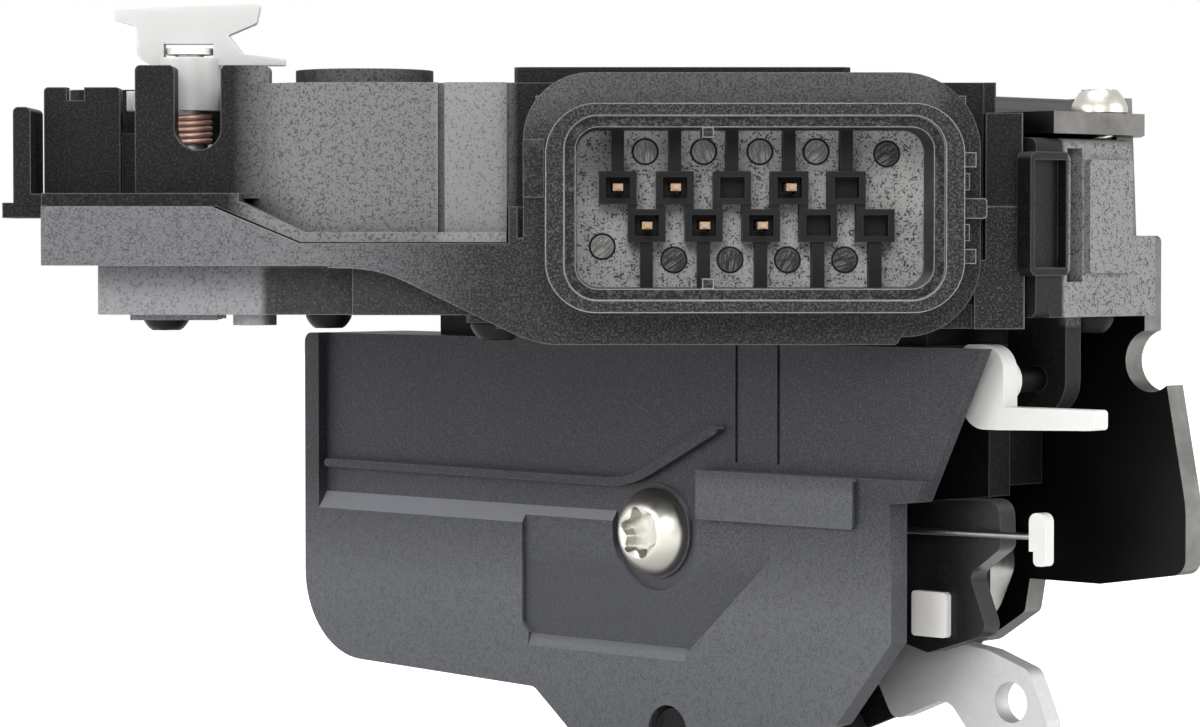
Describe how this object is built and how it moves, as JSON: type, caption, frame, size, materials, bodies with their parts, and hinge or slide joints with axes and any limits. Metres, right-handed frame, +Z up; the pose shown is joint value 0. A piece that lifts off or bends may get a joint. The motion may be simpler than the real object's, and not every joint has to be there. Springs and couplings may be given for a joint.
{
  "type": "car door lock",
  "caption": "Car door latch with a moulded lock actuator, front connector socket, steel latch plate, claw, pawl and release levers.",
  "frame": {"origin": "centre of the connector socket's rim, in the plane of its mouth", "axes": "+X along the socket's long side, away from the cable end; +Y from the mouth into the part; +Z up, towards the side the striker enters from"},
  "size_m": [0.1103, 0.0807, 0.0757],
  "materials": {
    "housing_plastic": "fine-grained glass-filled plastic",
    "latch_plastic": "fine-grained moulded plastic",
    "lever_plastic": "smooth moulded plastic",
    "white_plastic": "smooth acetal",
    "clear_lever_plastic": "translucent acetal",
    "jacket_plastic": "smooth moulded jacket",
    "coated_steel": "black dip coat, pale cut edges",
    "zinc_steel": "bright zinc plate",
    "bare_steel": "ground steel",
    "spring_steel": "drawn wire",
    "motor_steel": "drawn and plated steel can",
    "pin_brass": "tinned brass",
    "lead_brass": "stamped brass",
    "rubber": "moulded rubber"
  },
  "bodies": {
    "housing": {"connector_socket": "housing_plastic", "terminal_carrier": "lever_plastic", "terminal_pins": "pin_brass", "lead_frame": "lead_brass", "actuator_base": "housing_plastic", "actuator_cover": "housing_plastic", "wheel_axle": "bare_steel", "inside_lever_pin": "bare_steel", "lock_motor": "motor_steel", "motor_end_cap": "lever_plastic", "micro_switches": "lever_plastic", "inside_lever_spring": "spring_steel", "latch_housing": "latch_plastic", "latch_cover": "latch_plastic", "latch_plate": "coated_steel", "support_plate": "bare_steel", "claw_pin": "bare_steel", "pawl_pin": "bare_steel", "lock_lever_pin": "bare_steel", "claw_spring": "spring_steel", "pawl_spring": "spring_steel", "spring_tab": "white_plastic", "striker_bumper": "rubber", "cover_screws": "zinc_steel", "housing_screws": "zinc_steel", "plate_screw": "zinc_steel"},
    "claw": {"claw": "bare_steel", "claw_jacket": "jacket_plastic"},
    "pawl": {"pawl": "bare_steel", "pawl_lifter": "lever_plastic", "lifter_pad": "white_plastic"},
    "outside_lever": {"outside_release_lever": "zinc_steel"},
    "inside_lever": {"inside_release_lever": "clear_lever_plastic"},
    "worm_wheel": {"worm_wheel": "white_plastic"},
    "motor_rotor": {"motor_shaft": "bare_steel", "motor_worm": "lead_brass"},
    "lock_lever": {"lock_lever": "white_plastic"}
  },
  "joints": [
    {"name": "claw_turn", "type": "hinge", "parent": "housing", "child": "claw", "pos_m": [-0.00071, 0.05303, -0.017], "axis": [0.7071, 0.7071, 0], "range_deg": [0, 65], "stiffness_Nm_per_rad": 0.05, "springref_deg": -17.19},
    {"name": "outside_lever_turn", "type": "hinge", "parent": "housing", "child": "outside_lever", "pos_m": [0.01485, 0.02687, -0.0335], "axis": [-0.7071, -0.7071, 0], "range_deg": [0, 20], "stiffness_Nm_per_rad": 0.05, "springref_deg": -20.05},
    {"name": "pawl_turn", "type": "hinge", "parent": "housing", "child": "pawl", "pos_m": [0.02015, 0.03217, -0.0335], "axis": [-0.7071, -0.7071, 0], "range_deg": [0, 10]},
    {"name": "inside_lever_turn", "type": "hinge", "parent": "housing", "child": "inside_lever", "pos_m": [-0.0518, 0.0215, 0.011], "axis": [0, 0, 1], "range_deg": [0, 26], "stiffness_Nm_per_rad": 0.02, "springref_deg": -11.46},
    {"name": "worm_wheel_turn", "type": "hinge", "parent": "housing", "child": "worm_wheel", "pos_m": [-0.0355, 0.0215, 0], "axis": [0, 0, 1], "range_deg": [0, 60]},
    {"name": "motor_turn", "type": "hinge", "parent": "housing", "child": "motor_rotor", "pos_m": [-0.02751, 0.02906, 0], "axis": [0.7071, -0.7071, 0], "range_deg": [0, 2160]},
    {"name": "lock_lever_turn", "type": "hinge", "parent": "housing", "child": "lock_lever", "pos_m": [0.02235, 0.01301, -0.0156], "axis": [0.7071, 0.7071, 0], "range_deg": [0, 12]}
  ],
  "couplings": [
    {"joint": "pawl_turn", "follows": "outside_lever_turn", "ratio": 0.5},
    {"joint": "motor_turn", "follows": "worm_wheel_turn", "ratio": 36},
    {"joint": "lock_lever_turn", "follows": "worm_wheel_turn", "ratio": 0.2}
  ]
}
